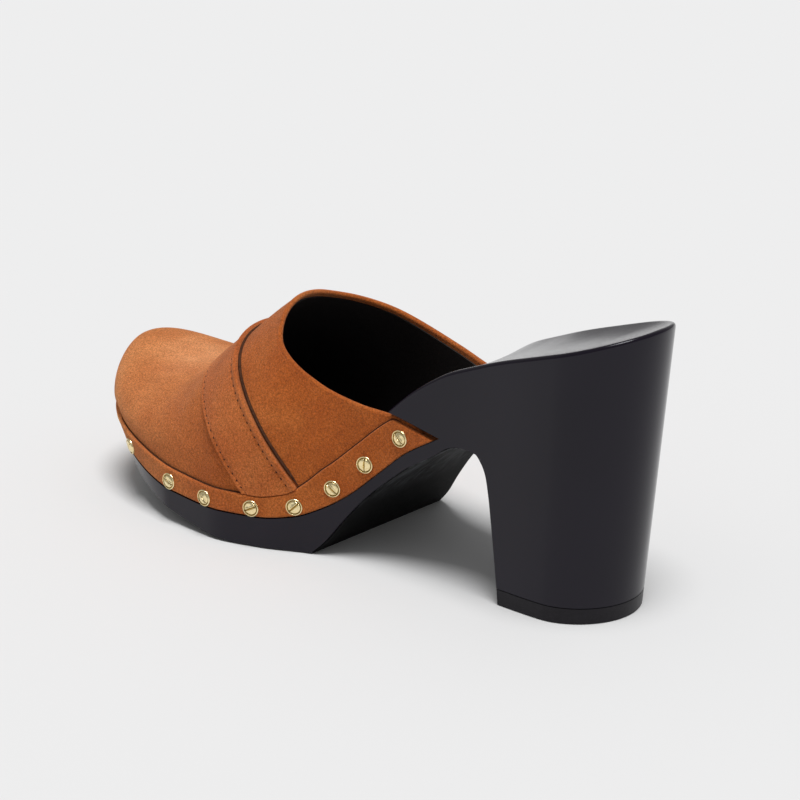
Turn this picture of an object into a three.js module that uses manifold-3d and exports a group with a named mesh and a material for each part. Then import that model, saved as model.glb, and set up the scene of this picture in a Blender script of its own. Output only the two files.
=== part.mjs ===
// A left clog: a suede mule upper nailed round a one-piece lacquered wooden sole with a high block heel.
// Millimetres. +X runs from heel to toe, +Y to the outer side of the foot, +Z up, and the floor is Z = 0.
// The tables give lengths as shares of LENGTH, widths as shares of BALL_WIDTH and heights as their names say.
import * as THREE from "three";
import { mergeVertices } from "three/addons/utils/BufferGeometryUtils.js";
import Module from "manifold-3d";

const wasm = await Module();
wasm.setup();

// Sizes of the wooden sole
const LENGTH = 245;
const BALL_WIDTH = 88;
const HEEL_HEIGHT = 102;
const PLATFORM_HEIGHT = 27;
const HEEL_RAKE = 9;
const HEEL_BASE_TAPER = 0.11;
const HEEL_BASE_LENGTH = 37.8;
const TREAD_START = 123.5;
const TREAD_LENGTH = 26.5;
const TOE_SPRING = 19.5;
const TOE_SPRING_BEND = 1.5;
const TOE_UNDERCUT = 15;
const ARCH_RISE = 52;
const BED_DISH = 1.8;
const SEAT_ROUND = 24;
const TOE_ROUND = 60;

// Rubber under the sole and the heel
const OUTSOLE_THICKNESS = 1.4;
const OUTSOLE_INSET = 0.8;
const HEEL_TIP_THICKNESS = 5.5;

// Leather: walls, heights and clearances
const INSTEP_HEIGHT = 84;
const UPPER_WALL = 2;
const OVERLAY_WALL = 1.5;
const GAP = 0.3;
const RAND_HEIGHT = 12;
const STRAP_WIDTH = 20;
const STRAP_FOOT_X = 134;
const STRAP_TILT = 0.73;
const STRAP_SKEW = 0.28;
const COLLAR_LEAN = 0.175;
const COLLAR_SKEW = 0.3;
const REBATE_MARGIN = 2;

// Brass studs
const STUD_DIAMETER = 6.4;
const STUD_DOME = 1.6;
const STUD_RIM = 0.7;
const STUD_SPACING = 20.5;
const STUD_LEVEL = 0.42;

// Depths below the face of the wood of each layer of leather that lies in its rebate
const OVERLAY_FACE = 0;
const OVERLAY_BACK = OVERLAY_FACE + OVERLAY_WALL;
const UPPER_FACE = OVERLAY_BACK + GAP;
const UPPER_BACK = UPPER_FACE + UPPER_WALL;
const REBATE = UPPER_BACK + GAP;

// Plan of the rim of the sole: half width and centre line
const PLAN = [
  { at: 0, half: 0.266, centre: 0.01 },
  { at: 0.114, half: 0.277, centre: 0.01 },
  { at: 0.237, half: 0.27, centre: 0.006 },
  { at: 0.376, half: 0.294, centre: 0.001 },
  { at: 0.441, half: 0.339, centre: 0.002 },
  { at: 0.506, half: 0.397, centre: 0.011 },
  { at: 0.58, half: 0.469, centre: 0.037 },
  { at: 0.661, half: 0.503, centre: 0.061 },
  { at: 0.751, half: 0.5, centre: 0.059 },
  { at: 1, half: 0.48, centre: 0.06 },
];

// Rim of the footbed: height above the platform as a share of the drop from seat to platform
const RIM = [
  { at: 0, drop: 1 },
  { at: 0.065, drop: 0.93 },
  { at: 0.13, drop: 0.862 },
  { at: 0.196, drop: 0.79 },
  { at: 0.245, drop: 0.727 },
  { at: 0.286, drop: 0.67 },
  { at: 0.318, drop: 0.608 },
  { at: 0.351, drop: 0.531 },
  { at: 0.384, drop: 0.434 },
  { at: 0.424, drop: 0.302 },
  { at: 0.465, drop: 0.182 },
  { at: 0.506, drop: 0.093 },
  { at: 0.555, drop: 0.031 },
  { at: 0.612, drop: 0.004 },
  { at: 0.686, drop: 0 },
  { at: 0.776, drop: 0.02 },
  { at: 0.878, drop: 0.067 },
  { at: 1, drop: 0.14 },
];

// Underside between breast and tread: place as a share of that span, height as a share of ARCH_RISE
const ARCH = [
  { at: 0, rise: 0 },
  { at: 0.02, rise: 0.27 },
  { at: 0.045, rise: 0.57 },
  { at: 0.06, rise: 0.73 },
  { at: 0.08, rise: 0.87 },
  { at: 0.105, rise: 0.94 },
  { at: 0.14, rise: 0.99 },
  { at: 0.2, rise: 1 },
  { at: 0.28, rise: 0.975 },
  { at: 0.4, rise: 0.86 },
  { at: 0.52, rise: 0.75 },
  { at: 0.63, rise: 0.62 },
  { at: 0.74, rise: 0.466 },
  { at: 0.85, rise: 0.27 },
  { at: 0.94, rise: 0.09 },
  { at: 1, rise: 0 },
];
const OUTSOLE_FROM = 0.24;

// Ridge of the upper: height as a share of INSTEP_HEIGHT, and how square the section is, 2 being an ellipse
const RIDGE = [
  { at: 0.245, height: 1.452, fullness: 2.5 },
  { at: 0.408, height: 1.345, fullness: 2.4 },
  { at: 0.531, height: 1.208, fullness: 2.2 },
  { at: 0.584, height: 1.119, fullness: 2.1 },
  { at: 0.624, height: 1.03, fullness: 2 },
  { at: 0.661, height: 0.94, fullness: 2 },
  { at: 0.694, height: 0.851, fullness: 2 },
  { at: 0.727, height: 0.762, fullness: 2.05 },
  { at: 0.763, height: 0.66, fullness: 2.05 },
  { at: 0.808, height: 0.6, fullness: 2 },
  { at: 0.857, height: 0.585, fullness: 2 },
  { at: 0.906, height: 0.612, fullness: 2 },
  { at: 1, height: 0.7, fullness: 2.25 },
];

// Collar seen from the side: height as a share of HEEL_HEIGHT
const COLLAR = [
  { at: 0.31, height: 0.548 },
  { at: 0.384, height: 0.587 },
  { at: 0.449, height: 0.612 },
  { at: 0.51, height: 0.65 },
  { at: 0.559, height: 0.698 },
  { at: 0.595, height: 0.748 },
  { at: 0.618, height: 0.79 },
  { at: 0.634, height: 0.855 },
];
const COLLAR_REAR = 0.31;

// Lower edge of the leather seen from the side: height as a share of HEEL_HEIGHT
const LEDGE = [
  { at: 0.31, height: 0.506 },
  { at: 0.36, height: 0.432 },
  { at: 0.404, height: 0.338 },
  { at: 0.449, height: 0.24 },
  { at: 0.49, height: 0.173 },
  { at: 0.53, height: 0.13 },
  { at: 0.58, height: 0.113 },
  { at: 0.653, height: 0.113 },
  { at: 0.735, height: 0.122 },
  { at: 0.79, height: 0.14 },
  { at: 0.837, height: 0.163 },
  { at: 0.918, height: 0.196 },
  { at: 1, height: 0.236 },
];

// Height of the rand above the lower edge of the leather, square to that edge, as a share of RAND_HEIGHT
const RAND = [
  { at: 0.2, height: 1.05 },
  { at: 0.45, height: 1 },
  { at: 0.53, height: 0.7 },
  { at: 0.59, height: 0.64 },
  { at: 0.75, height: 0.68 },
  { at: 1.05, height: 0.8 },
];

// Studs of the outer side, which sit unevenly, as shares of the rand's length from its outer end
const STUDS = [
  { at: 0.04 },
  { at: 0.086 },
  { at: 0.127 },
  { at: 0.169 },
  { at: 0.21 },
  { at: 0.259 },
  { at: 0.306 },
  { at: 0.376 },
  { at: 0.431 },
];

// Fullness of the rounded outlines, and fineness of the facets
const TOE_FULLNESS = 2.2;
const TOE_CAP_FULLNESS = 5.2;
const STATIONS = 44;
const BED_STEPS = 10;
const SECTION_STEPS = 22;
const LINE_STEPS = 30;
const PATH_STEPS = 90;
const SWEEP_STEPS = 8;
const STUD_SIDES = 12;
const REACH = 200;

// The share of a rounded end from which its outline counts as closed, so that its tip is one point
const ALMOST_CLOSED = 1 - 1e-9;

// A smooth curve through the rows of a table, which stays between neighbouring rows
function curve(rows, column) {
  const xs = rows.map((row) => row.at);
  const ys = rows.map((row) => row[column]);
  const last = rows.length - 1;
  const slopes = xs.slice(1).map((x, i) => (ys[i + 1] - ys[i]) / (x - xs[i]));
  const tangents = ys.map((_, i) => {
    if (i === 0) return slopes[0];
    if (i === last) return slopes[last - 1];
    const [before, after] = [slopes[i - 1], slopes[i]];
    return before * after <= 0 ? 0 : (2 * before * after) / (before + after);
  });
  return (x) => {
    if (x <= xs[0]) return ys[0] + tangents[0] * (x - xs[0]);
    if (x >= xs[last]) return ys[last] + tangents[last] * (x - xs[last]);
    const i = xs.findIndex((end) => end > x) - 1;
    const span = xs[i + 1] - xs[i];
    const t = (x - xs[i]) / span;
    const bulge = (tangents[i] * (1 - t) - tangents[i + 1] * t) * t * (1 - t) * span;
    return ys[i] + (ys[i + 1] - ys[i]) * t * t * (3 - 2 * t) + bulge;
  };
}

const planHalf = curve(PLAN, "half");
const planCentre = curve(PLAN, "centre");
const rimDrop = curve(RIM, "drop");
const archRise = curve(ARCH, "rise");
const ridgeHeight = curve(RIDGE, "height");
const sectionFullness = curve(RIDGE, "fullness");
const collarHeight = curve(COLLAR, "height");
const ledgeHeight = curve(LEDGE, "height");
const randHeight = curve(RAND, "height");

const TOE_START = LENGTH - TOE_ROUND;
const BREAST_BASE = HEEL_RAKE + HEEL_BASE_LENGTH;
const TREAD_END = TREAD_START + TREAD_LENGTH;
const ARCH_SPAN = TREAD_START - BREAST_BASE;

const rimZ = (x) => PLATFORM_HEIGHT + (HEEL_HEIGHT - PLATFORM_HEIGHT) * rimDrop(x / LENGTH);
const ridgeZ = (x) => INSTEP_HEIGHT * ridgeHeight(x / LENGTH);
const centreY = (x) => BALL_WIDTH * planCentre(x / LENGTH);
const range = (from, to, count) =>
  Array.from({ length: count + 1 }, (_, i) => from + ((to - from) * i) / count);
const rounded = (share, fullness) => {
  const within = Math.min(1, Math.max(0, share));
  return within > ALMOST_CLOSED ? 0 : Math.pow(1 - Math.pow(within, fullness), 1 / fullness);
};

// Half width of the rim at x, for the outline a depth inside the face of the wood
function halfWidth(x, depth) {
  const full = BALL_WIDTH * planHalf(x / LENGTH) - depth;
  const toe = rounded((x - TOE_START) / (TOE_ROUND - depth), TOE_FULLNESS);
  const seat = rounded((SEAT_ROUND - x) / (SEAT_ROUND - depth), 2);
  return full * toe * seat;
}

// The point of the side wall at the floor below a point of the rim: the heel rakes in, the toe is undercut
function footOf(x, half) {
  const heel = Math.max(0, 1 - x / (BREAST_BASE + HEEL_RAKE));
  const toe = Math.max(0, (x - TOE_START) / TOE_ROUND);
  const shrink = (TOE_UNDERCUT / TOE_ROUND) * toe;
  return {
    x: x + HEEL_RAKE * heel - Math.max(0, x - TOE_START) * shrink,
    half: half * (1 - HEEL_BASE_TAPER * heel - shrink),
  };
}

// Stations along the shoe, closer together at both ends, drawn in with the depth
function stations(depth, first) {
  return range(0, Math.PI, STATIONS)
    .map((angle) => (LENGTH * (1 - Math.cos(angle))) / 2)
    .map((x) => (x > TOE_START ? TOE_START + ((x - TOE_START) * (TOE_ROUND - depth)) / TOE_ROUND : x))
    .map((x) => (x < SEAT_ROUND ? SEAT_ROUND - ((SEAT_ROUND - x) * (SEAT_ROUND - depth)) / SEAT_ROUND : x))
    .filter((x) => x >= first);
}

// A three.js geometry as a solid that can be cut and joined
function solidFrom(source) {
  const geometry = source.index ? source.toNonIndexed() : source.clone();
  geometry.deleteAttribute("normal");
  geometry.deleteAttribute("uv");
  const merged = mergeVertices(geometry, 1e-4);
  const index = merged.index.array;
  const corners = [];
  for (let i = 0; i < index.length; i += 3) {
    const [a, b, c] = index.slice(i, i + 3);
    if (a !== b && b !== c && c !== a) corners.push(a, b, c);
  }
  const vertProperties = merged.attributes.position.array;
  return new wasm.Manifold(new wasm.Mesh({ numProp: 3, vertProperties, triVerts: new Uint32Array(corners) }));
}

// A closed solid through rings of equal length, which may shrink to an upright line at either end
function loft(rings) {
  const positions = [];
  const count = rings[0].length;
  for (let i = 1; i < rings.length; i += 1) {
    for (let j = 0; j < count; j += 1) {
      const next = (j + 1) % count;
      const [a, b, c, d] = [rings[i - 1][j], rings[i - 1][next], rings[i][next], rings[i][j]];
      positions.push(...a, ...b, ...c, ...a, ...c, ...d);
    }
  }
  const cap = (ring, facing) => {
    const flat = ring.map((p) => new THREE.Vector2(p[1], p[2]));
    if (Math.abs(THREE.ShapeUtils.area(flat)) < 1) return;
    for (const [a, b, c] of THREE.ShapeUtils.triangulateShape(flat, [])) {
      const turned = THREE.ShapeUtils.area([flat[a], flat[b], flat[c]]) * facing < 0;
      const order = turned ? [a, c, b] : [a, b, c];
      order.forEach((k) => positions.push(...ring[k]));
    }
  };
  cap(rings[0], -1);
  cap(rings[rings.length - 1], 1);
  const geometry = new THREE.BufferGeometry();
  geometry.setAttribute("position", new THREE.Float32BufferAttribute(positions, 3));
  return solidFrom(geometry);
}

// A profile seen from the side, swept across the shoe, with each of its points moved by a function of y
function acrossShoe(points, moved = (x, y, z) => [x, y, z]) {
  const shape = new THREE.Shape(points.map(([x, z]) => new THREE.Vector2(x, z)));
  const sweep = { depth: 2 * BALL_WIDTH, steps: SWEEP_STEPS, bevelEnabled: false };
  const geometry = new THREE.ExtrudeGeometry(shape, sweep);
  geometry.rotateX(Math.PI / 2);
  geometry.translate(0, BALL_WIDTH, 0);
  const place = geometry.attributes.position;
  for (let i = 0; i < place.count; i += 1) {
    place.setXYZ(i, ...moved(place.getX(i), place.getY(i), place.getZ(i)));
  }
  return solidFrom(geometry);
}

// The block from the floor to the footbed with the outline of the sole, a depth inside its face
function soleBlock(depth, extraHeight, dish) {
  return loft(
    stations(depth, 0).map((x) => {
      const half = halfWidth(x, depth);
      const centre = centreY(x);
      const foot = footOf(x, half);
      const hollow = dish * Math.min(1, half / SEAT_ROUND);
      const bed = range(0, Math.PI, BED_STEPS).map((angle) => {
        const across = Math.cos(angle);
        return [x, centre + half * across, rimZ(x) + extraHeight - hollow * (1 - across * across)];
      });
      return [...bed, [foot.x, centre - foot.half, 0], [foot.x, centre + foot.half, 0]];
    }),
  );
}

// The foot's last with its leather, a depth inside the outermost face, down to the floor
function lastForm(depth) {
  return loft(
    stations(depth, HEEL_RAKE + BREAST_BASE).map((x) => {
      const half = halfWidth(x, depth);
      const centre = centreY(x);
      const foot = footOf(x, half);
      const toeCap = rounded((x - TOE_START) / (TOE_ROUND - depth), TOE_CAP_FULLNESS);
      const rise = (ridgeZ(x) - depth - rimZ(x)) * toeCap;
      const arc = range(0, Math.PI, SECTION_STEPS).map((angle) => {
        const across = Math.cos(angle);
        const y = Math.sign(across) * Math.pow(Math.abs(across), 2 / sectionFullness(x / LENGTH));
        const z = Math.pow(Math.sin(angle), 2 / sectionFullness(x / LENGTH));
        return [x, centre + half * y, rimZ(x) + rise * z];
      });
      return [...arc, [foot.x, centre - foot.half, 0], [foot.x, centre + foot.half, 0]];
    }),
  );
}

// A line in the side view moved along its own normal, upwards where the offset is positive
function offsetLine(line, offset) {
  const offsetAt = typeof offset === "number" ? () => offset : offset;
  return line.map(([x, z], i) => {
    const [x0, z0] = line[Math.max(0, i - 1)];
    const [x1, z1] = line[Math.min(line.length - 1, i + 1)];
    const length = Math.hypot(x1 - x0, z1 - z0);
    return [x - ((z1 - z0) / length) * offsetAt(x), z + ((x1 - x0) / length) * offsetAt(x)];
  });
}

// Everything in the side view above a line that runs from heel to toe
const above = (line) => [...line, [line[line.length - 1][0], REACH], [line[0][0], REACH]];
const below = (line) => [[line[0][0], -REACH], [line[line.length - 1][0], -REACH], ...[...line].reverse()];

// Wooden sole, rubber outsole and heel tip
const breastEnd = range(0, OUTSOLE_FROM, 12);
const archPoint = (share) => [BREAST_BASE + ARCH_SPAN * share, ARCH_RISE * archRise(share)];
const springShare = (x) => (x - TREAD_END) / (LENGTH - TREAD_END);
const springPoint = (x) => [x, TOE_SPRING * Math.pow(springShare(x), TOE_SPRING_BEND)];
const breastLine = breastEnd.map(archPoint);
const treadLine = [
  ...range(OUTSOLE_FROM, 1, LINE_STEPS).map(archPoint),
  ...range(TREAD_END, LENGTH * 1.02, 8).map(springPoint),
];
const woodTread = offsetLine(treadLine, OUTSOLE_THICKNESS + GAP);
const rubberTop = offsetLine(treadLine, OUTSOLE_THICKNESS);
const heelTipTop = [[-REACH, HEEL_TIP_THICKNESS], [BREAST_BASE + HEEL_RAKE, HEEL_TIP_THICKNESS]];
const woodHeelEnd = heelTipTop.map(([x, z]) => [x, z + GAP]);

const ledgeLine = range(0.2, 1.05, LINE_STEPS).map((at) => [LENGTH * at, HEEL_HEIGHT * ledgeHeight(at)]);
const collarTop = COLLAR[COLLAR.length - 1].at;
// The collar rises towards the inner side, where its throat also lies further forward
const collarTurn = (x, y, z) => {
  const share = Math.min(1, Math.max(0, (x / LENGTH - COLLAR_REAR) / (collarTop - COLLAR_REAR)));
  return [x - COLLAR_SKEW * share * share * (3 - 2 * share) * y, y, z - COLLAR_LEAN * y];
};
const collarLine = range(COLLAR_REAR - 0.05, collarTop, LINE_STEPS).map((at) => [
  LENGTH * at,
  HEEL_HEIGHT * collarHeight(at),
]);
const collarSide = below([...collarLine, [LENGTH * collarTop, REACH], [LENGTH * 1.05, REACH]]);
const rimCrossing = 0.4;
const rebateRear = range(COLLAR_REAR - 0.05, rimCrossing, 10).map((at) => [
  LENGTH * at,
  HEEL_HEIGHT * collarHeight(at) + REBATE_MARGIN,
]);
const rebateSide = below([...rebateRear, [LENGTH * rimCrossing, REACH], [LENGTH * 1.05, REACH]]);

const block = soleBlock(0, 0, BED_DISH);
const rebateFloor = ledgeLine.map(([x, z]) => [x, z - GAP]);
const rebate = acrossShoe(rebateSide, collarTurn)
  .intersect(acrossShoe(above(rebateFloor)))
  .subtract(soleBlock(REBATE, INSTEP_HEIGHT, 0));
const arch = acrossShoe(below([...breastLine, ...woodTread]));
const sole = block.subtract(arch).subtract(acrossShoe(below(woodHeelEnd))).subtract(rebate);
const outsoleSide = [...treadLine, ...[...rubberTop].reverse()];
const outsole = soleBlock(OUTSOLE_INSET, 0, 0).intersect(acrossShoe(outsoleSide));
const heelTip = block.intersect(acrossShoe(below(heelTipTop))).subtract(arch);

// Leather upper, rand and strap
const leather = acrossShoe(collarSide, collarTurn).intersect(acrossShoe(above(ledgeLine)));
const upper = lastForm(UPPER_FACE).intersect(leather).subtract(lastForm(UPPER_BACK));
const overlay = lastForm(OVERLAY_FACE).intersect(leather).subtract(lastForm(OVERLAY_BACK));
const randTop = offsetLine(ledgeLine, (x) => RAND_HEIGHT * randHeight(x / LENGTH));
const rand = overlay.intersect(acrossShoe(below(randTop)));
const strapReach = (STRAP_WIDTH / 2) * Math.hypot(1, STRAP_TILT);
const strapSide = above([
  [STRAP_FOOT_X - strapReach, 0],
  [STRAP_FOOT_X + strapReach, 0],
]).map(([x, z]) => [x + STRAP_TILT * z, z]);
const strapFloor = randTop.map(([x, z]) => [x, z + GAP]);
const strap = overlay
  .intersect(acrossShoe(strapSide, (x, y, z) => [x - STRAP_SKEW * y, y, z]))
  .intersect(acrossShoe(above(strapFloor)));

// The point of the rand's face at the level of the studs below the point x of the rim, and the wall's own line
function studPoint(x, side) {
  const half = halfWidth(x, OVERLAY_FACE);
  const foot = footOf(x, half);
  const top = new THREE.Vector3(x, centreY(x) + side * half, rimZ(x));
  const bottom = new THREE.Vector3(foot.x, centreY(x) + side * foot.half, 0);
  const point = top.clone();
  for (let i = 0; i < 4; i += 1) {
    const at = point.x / LENGTH;
    const level = HEEL_HEIGHT * ledgeHeight(at) + RAND_HEIGHT * randHeight(at) * ledgeSlope(at) * STUD_LEVEL;
    point.lerpVectors(bottom, top, Math.min(1, level / rimZ(x)));
  }
  return { point, wall: top.sub(bottom).normalize() };
}

// How much longer a step square to the lower edge of the leather is when it is measured upright
function ledgeSlope(at) {
  const step = 0.01;
  const rise = (HEEL_HEIGHT * (ledgeHeight(at + step) - ledgeHeight(at - step))) / (2 * step * LENGTH);
  return Math.hypot(1, rise);
}

// The stud places along the rand: those of the table, then equal steps round the toe to the inner end
function studPlaces() {
  const places = range(0, 1, PATH_STEPS).map((t) => Math.sin((Math.PI * t) / 2));
  const shares = places.map((place) => COLLAR_REAR + (1 - COLLAR_REAR) * place);
  const outer = shares.map((share) => studPoint(LENGTH * share, 1));
  const inner = shares.map((share) => studPoint(LENGTH * share, -1));
  const path = [...outer, ...inner.reverse().slice(1)];
  const lengths = [0];
  for (let i = 1; i < path.length; i += 1) {
    lengths.push(lengths[i - 1] + path[i].point.distanceTo(path[i - 1].point));
  }
  const whole = lengths[lengths.length - 1];
  const placed = STUDS.map((stud) => stud.at * whole);
  const from = placed[placed.length - 1];
  const to = whole - placed[0];
  const count = Math.round((to - from) / STUD_SPACING);
  return [...placed, ...range(from, to, count).slice(1)].map((distance) => {
    const i = Math.min(path.length - 2, lengths.findLastIndex((length) => length <= distance));
    const t = (distance - lengths[i]) / (lengths[i + 1] - lengths[i]);
    const along = path[i + 1].point.clone().sub(path[i].point);
    return {
      point: path[i].point.clone().addScaledVector(along, t),
      facing: path[i].wall.clone().lerp(path[i + 1].wall, t).cross(along).normalize(),
    };
  });
}

// A round brass nail head with an upright rim and a low dome, its axis along Y
function studGeometry() {
  const radius = STUD_DIAMETER / 2;
  const dome = range(0, Math.PI / 2, 4).map((angle) => [
    radius * Math.cos(angle),
    STUD_RIM + (STUD_DOME - STUD_RIM) * Math.sin(angle),
  ]);
  dome[dome.length - 1][0] = 0;
  const profile = [[0, 0], [radius, 0], ...dome].map(([r, h]) => new THREE.Vector2(r, h));
  return new THREE.LatheGeometry(profile, STUD_SIDES);
}

const lacquer = new THREE.MeshStandardMaterial({ color: 0x17151a, roughness: 0.15 });
const rubber = new THREE.MeshStandardMaterial({ color: 0x1c1b1d, roughness: 0.8 });
const brass = new THREE.MeshStandardMaterial({ color: 0xd9b56a, roughness: 0.2, metalness: 1 });
const suede = new THREE.MeshStandardMaterial({ color: 0xb86e41, roughness: 0.95 });

function mesh(name, made, material) {
  const data = made.getMesh();
  const geometry = new THREE.BufferGeometry();
  geometry.setAttribute("position", new THREE.Float32BufferAttribute(data.vertProperties, 3));
  geometry.setIndex(new THREE.BufferAttribute(data.triVerts, 1));
  geometry.computeVertexNormals();
  const piece = new THREE.Mesh(geometry, material);
  piece.name = name;
  return piece;
}

const clog = new THREE.Group();
clog.add(mesh("sole", sole, lacquer));
clog.add(mesh("outsole", outsole, rubber));
clog.add(mesh("heel_tip", heelTip, rubber));
clog.add(mesh("upper", upper, suede));
clog.add(mesh("rand", rand, suede));
clog.add(mesh("instep_strap", strap, suede));

const up = new THREE.Vector3(0, 1, 0);
studPlaces().forEach(({ point, facing }, i) => {
  const stud = mesh("stud_" + String(i + 1).padStart(2, "0"), solidFrom(studGeometry()), brass);
  stud.position.copy(point).addScaledVector(facing, GAP);
  stud.quaternion.setFromUnitVectors(up, facing);
  clog.add(stud);
});

// The origin is the middle of the shoe's footprint, on the floor
const bounds = new THREE.Box3().setFromObject(clog);
const middle = bounds.getCenter(new THREE.Vector3());
clog.position.set(-middle.x, -middle.y, -bounds.min.z);
const shoe = new THREE.Group();
shoe.add(clog);

export default shoe;
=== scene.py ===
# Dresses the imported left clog: lacquered wood, scuffed rubber, suede, black lining and brass nail heads.
# Forms are worked out in millimetres from the back of the seat, as the solids are, and placed in metres.
import math

import bmesh
import bpy
import numpy as np
from mathutils import Matrix, Vector


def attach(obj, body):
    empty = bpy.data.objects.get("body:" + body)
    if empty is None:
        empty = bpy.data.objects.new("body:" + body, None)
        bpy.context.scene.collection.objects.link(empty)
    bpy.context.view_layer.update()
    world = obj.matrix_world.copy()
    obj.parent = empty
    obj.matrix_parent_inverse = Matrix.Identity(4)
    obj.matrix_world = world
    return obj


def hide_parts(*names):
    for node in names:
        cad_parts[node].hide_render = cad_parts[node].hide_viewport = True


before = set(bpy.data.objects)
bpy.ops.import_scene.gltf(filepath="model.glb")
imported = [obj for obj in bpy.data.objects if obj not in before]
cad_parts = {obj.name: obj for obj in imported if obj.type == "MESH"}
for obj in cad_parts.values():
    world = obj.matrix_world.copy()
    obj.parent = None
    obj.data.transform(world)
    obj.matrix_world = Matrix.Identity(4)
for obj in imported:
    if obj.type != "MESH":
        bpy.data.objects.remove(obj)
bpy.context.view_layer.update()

# Where the middle of the shoe's footprint lies, from the back of the seat and the centre line
MIDDLE = np.array([121.698, 5.369, 0.0])
MM = 0.001

# Sizes of the wooden sole
LENGTH = 245
BALL_WIDTH = 88
HEEL_HEIGHT = 102
PLATFORM_HEIGHT = 27
HEEL_RAKE = 9
HEEL_BASE_TAPER = 0.11
HEEL_BASE_LENGTH = 37.8
TREAD_START = 123.5
TREAD_LENGTH = 26.5
TOE_SPRING = 24
TOE_SPRING_BEND = 1.5
TOE_UNDERCUT = 21
ARCH_RISE = 52
BED_DISH = 1.8
SEAT_ROUND = 24
TOE_ROUND = 60
RIM_ROUND = 2.0
TOE_FULLNESS = 2.2
TOE_CAP_FULLNESS = 5.2

# Rubber, leather and brass
OUTSOLE_THICKNESS = 1.4
OUTSOLE_INSET = 0.8
TREAD_SHOWS = 0.3
HEEL_TIP_THICKNESS = 5.5
INSTEP_HEIGHT = 84
UPPER_WALL = 2
OVERLAY_WALL = 1.5
GAP = 0.3
RAND_HEIGHT = 12
STRAP_WIDTH = 20
STRAP_FOOT_X = 134
STRAP_TILT = 0.73
STRAP_SKEW = 0.28
COLLAR_LEAN = 0.175
COLLAR_SKEW = 0.3
COLLAR_REAR = 0.31
REBATE_MARGIN = 2
STUD_DIAMETER = 6.4
STUD_SPACING = 20.5
STUD_LEVEL = 0.42
OUTSOLE_FROM = 0.24

# Depths below the face of the wood
UPPER_FACE = OVERLAY_WALL + GAP
UPPER_BACK = UPPER_FACE + UPPER_WALL
REBATE = UPPER_BACK + GAP

# Collar: how far the rolled edge lies below the cut, its radius, and where the black lining starts
ROLL_DROP = 1.0
ROLL_RADIUS = 1.0
ROLL_START = 70
ROLL_WALL_SPAN = 24
ROLL_CLEAR = 4
LINING_DROP = 2.4
LINING_WALL = 0.5
LINING_OVERLAP = 0.05

# Share of the length, half width and centre line as shares of the ball width
PLAN = [
    (0, 0.266, 0.01), (0.114, 0.277, 0.01), (0.237, 0.27, 0.006), (0.376, 0.294, 0.001),
    (0.441, 0.339, 0.002), (0.506, 0.397, 0.011), (0.58, 0.469, 0.037), (0.661, 0.503, 0.061),
    (0.751, 0.5, 0.059), (1, 0.48, 0.06),
]
# Share of the length, share of the drop from seat to platform
RIM = [
    (0, 1), (0.065, 0.93), (0.13, 0.862), (0.196, 0.79), (0.245, 0.727), (0.286, 0.67), (0.318, 0.608),
    (0.351, 0.531), (0.384, 0.434), (0.424, 0.302), (0.465, 0.182), (0.506, 0.093), (0.555, 0.031),
    (0.612, 0.004), (0.686, 0), (0.776, 0.02), (0.878, 0.067), (1, 0.14),
]
# Share of the span from breast to tread, share of the arch's rise
ARCH = [
    (0, 0), (0.02, 0.27), (0.045, 0.57), (0.06, 0.73), (0.08, 0.87), (0.105, 0.94), (0.14, 0.99), (0.2, 1),
    (0.28, 0.975), (0.4, 0.86), (0.52, 0.75), (0.63, 0.62), (0.74, 0.466), (0.85, 0.27), (0.94, 0.09),
    (1, 0),
]
# Share of the length, ridge height as a share of the instep height, fullness of the section
RIDGE = [
    (0.245, 1.452, 2.5), (0.408, 1.345, 2.4), (0.531, 1.208, 2.2), (0.584, 1.119, 2.1), (0.624, 1.03, 2.0),
    (0.661, 0.94, 2.0), (0.694, 0.851, 2.0), (0.727, 0.762, 2.05), (0.763, 0.66, 2.05), (0.808, 0.6, 2.0),
    (0.857, 0.585, 2.0), (0.906, 0.612, 2.0), (1, 0.7, 2.25),
]
# Share of the length, height of the collar as a share of the heel height
COLLAR = [
    (0.31, 0.548), (0.384, 0.587), (0.449, 0.612), (0.51, 0.65), (0.559, 0.698), (0.595, 0.748),
    (0.618, 0.79), (0.634, 0.855),
]
# Share of the length, height of the leather's lower edge as a share of the heel height
LEDGE = [
    (0.31, 0.506), (0.36, 0.432), (0.404, 0.338), (0.449, 0.24), (0.49, 0.173), (0.53, 0.13), (0.58, 0.113),
    (0.653, 0.113), (0.735, 0.122), (0.79, 0.14), (0.837, 0.163), (0.918, 0.196), (1, 0.236),
]
# Share of the length, width of the rand as a share of its full height
RAND = [(0.2, 1.05), (0.45, 1), (0.53, 0.7), (0.59, 0.64), (0.75, 0.68), (1.05, 0.8)]
# Studs of the outer side as shares of the rand's length from its outer end
STUDS = [0.04, 0.086, 0.127, 0.169, 0.21, 0.259, 0.306, 0.376, 0.431]

# Soft troughs and ridges of the upper, from one place to another: x in mm and ring place of both ends,
# half width in mm, height in mm where below zero is a trough
CREASES = [
    (196, 1.33, 198, 1.62, 5, -0.55), (189, 1.3, 190, 1.6, 4, 0.45), (178, 1.12, 196, 1.33, 6, -0.45),
    (186, 1.88, 200, 1.68, 6, -0.4), (206, 1.25, 209, 1.45, 7, 0.4), (222, 1.3, 216, 1.1, 7, -0.3),
    (116, 1.08, 131, 1.3, 7, -0.4), (128, 1.03, 141, 1.2, 6, 0.3), (112, 1.94, 128, 1.76, 7, -0.4),
]
RING_SPAN = 75
CREASE_END_SHARE = 0.35

# Shares of the length where the side lines of tread and leather end, past the toe
TREAD_PAST_TOE = 1.02
PAST_TOE = 1.05
LEDGE_FROM = 0.2
COLLAR_LEAD = 0.05
# Slices across the shoe of a cutting form that leans with the collar
LEAN_STEPS = 24
# Halvings and rounds that find a place well below a hundredth of a millimetre
HALVINGS = 40
LEAN_ROUNDS = 12
WALL_ROUNDS = 14
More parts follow.
